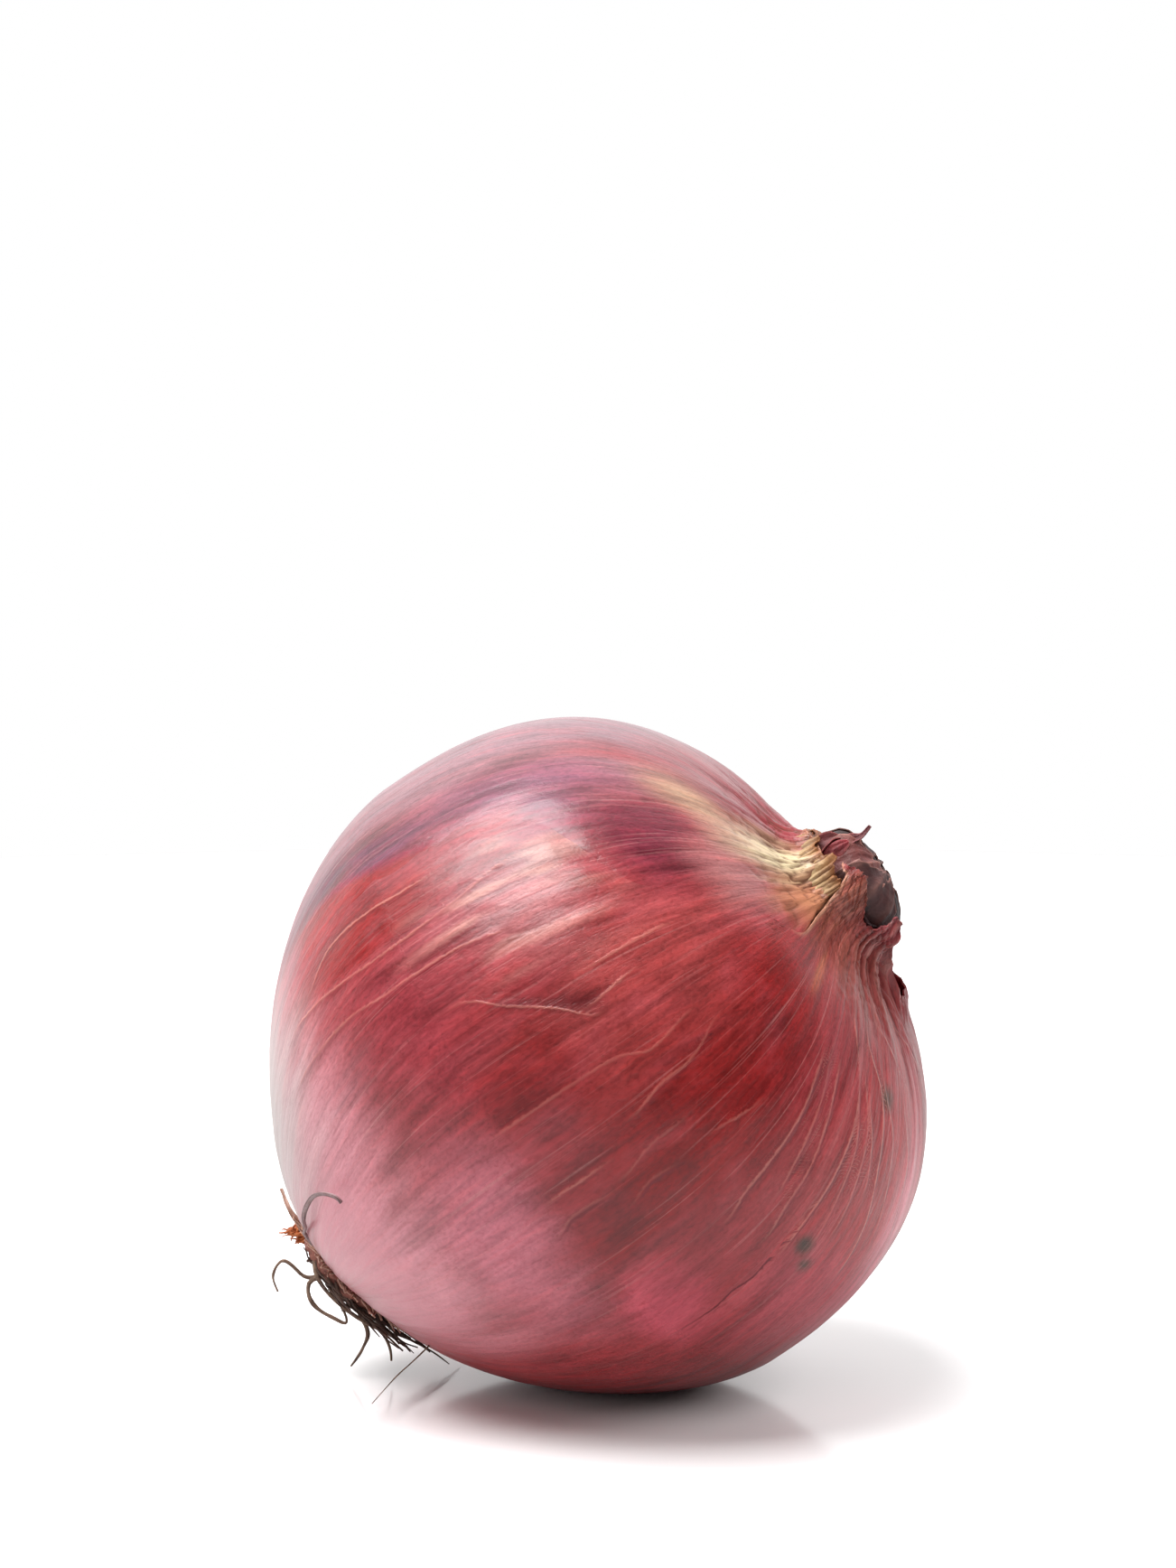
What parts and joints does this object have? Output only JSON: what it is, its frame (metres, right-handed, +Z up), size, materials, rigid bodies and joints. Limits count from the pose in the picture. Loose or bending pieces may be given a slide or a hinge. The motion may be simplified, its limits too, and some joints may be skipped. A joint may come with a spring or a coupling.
{
  "type": "red onion",
  "caption": "Whole red onion lying on its side, with torn papery skin, a pleated neck closed by dead leaf ends, and a tuft of dry roots.",
  "frame": {"origin": "middle of the small flat spot that the onion rests on", "axes": "+Z up; the onion lies on its side, its neck toward +X and up and a little toward -Y, its roots toward -X and down; -Y is the side the picture shows"},
  "size_m": [0.0771, 0.08, 0.0774],
  "materials": {
    "inner_skin": "gloss",
    "outer_skin": "satin",
    "dead_leaf": "matte",
    "dry_root": "matte"
  },
  "bodies": {
    "root": {"bulb": "inner_skin", "outer_skin": "outer_skin", "neck_sheath": "dead_leaf", "root_tuft": "dry_root"}
  },
  "joints": []
}
